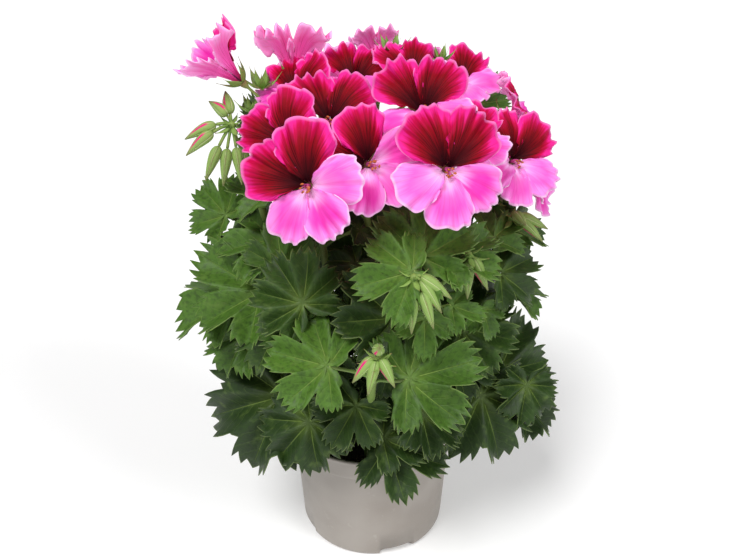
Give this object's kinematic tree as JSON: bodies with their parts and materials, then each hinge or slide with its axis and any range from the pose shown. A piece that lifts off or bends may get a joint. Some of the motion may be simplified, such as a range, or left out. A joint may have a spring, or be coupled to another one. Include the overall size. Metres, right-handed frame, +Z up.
{
  "type": "potted regal pelargonium",
  "caption": "Bushy regal pelargonium in a plain round nursery pot: upright leafy stems with lobed, toothed leaves, bud sprays and a head of ruffled pink blooms with dark centres.",
  "frame": {"origin": "centre of the pot's flat underside, on the surface that it stands on", "axes": "+Z up, -Y towards the front that the picture shows, +X to the right of that front"},
  "size_m": [0.2385, 0.2148, 0.3486],
  "materials": {
    "pot": "satin",
    "soil": "matte",
    "leaves_dark": "matte",
    "leaves_light": "matte",
    "petals_upper": "matte",
    "petals_lower": "matte"
  },
  "bodies": {
    "root": {"pot": "pot", "soil": "soil", "bloom_01_upper_petals": "petals_upper", "bloom_01_lower_petals": "petals_lower", "bloom_02_upper_petals": "petals_upper", "bloom_02_lower_petals": "petals_lower", "bloom_03_upper_petals": "petals_upper", "bloom_03_lower_petals": "petals_lower", "bloom_04_upper_petals": "petals_upper", "bloom_04_lower_petals": "petals_lower", "bloom_05_upper_petals": "petals_upper", "bloom_05_lower_petals": "petals_lower", "bloom_06_upper_petals": "petals_upper", "bloom_06_lower_petals": "petals_lower", "bloom_07_upper_petals": "petals_upper", "bloom_07_lower_petals": "petals_lower", "bloom_08_upper_petals": "petals_upper", "bloom_08_lower_petals": "petals_lower", "bloom_09_upper_petals": "petals_upper", "bloom_09_lower_petals": "petals_lower", "bloom_10_upper_petals": "petals_upper", "bloom_10_lower_petals": "petals_lower", "bloom_11_upper_petals": "petals_upper", "bloom_11_lower_petals": "petals_lower", "bloom_12_upper_petals": "petals_upper", "bloom_12_lower_petals": "petals_lower", "bloom_13_upper_petals": "petals_upper", "bloom_13_lower_petals": "petals_lower", "bloom_14_upper_petals": "petals_upper", "bloom_14_lower_petals": "petals_lower", "bloom_15_upper_petals": "petals_upper", "bloom_15_lower_petals": "petals_lower", "bloom_16_upper_petals": "petals_upper", "bloom_16_lower_petals": "petals_lower", "bloom_17_upper_petals": "petals_upper", "bloom_17_lower_petals": "petals_lower", "bloom_18_upper_petals": "petals_upper", "bloom_18_lower_petals": "petals_lower", "bloom_19_upper_petals": "petals_upper", "bloom_19_lower_petals": "petals_lower", "bloom_20_upper_petals": "petals_upper", "bloom_20_lower_petals": "petals_lower", "bloom_21_upper_petals": "petals_upper", "bloom_21_lower_petals": "petals_lower", "bloom_22_upper_petals": "petals_upper", "bloom_22_lower_petals": "petals_lower", "leafy_stem_1": "leaves_dark", "leafy_stem_2": "leaves_dark", "leafy_stem_3": "leaves_dark", "leafy_stem_4": "leaves_dark", "leafy_stem_5": "leaves_dark", "leafy_stem_6": "leaves_dark", "leafy_stem_7": "leaves_dark", "leafy_stem_8": "leaves_dark", "leafy_stem_9": "leaves_light", "leafy_stem_10": "leaves_light"}
  },
  "joints": []
}
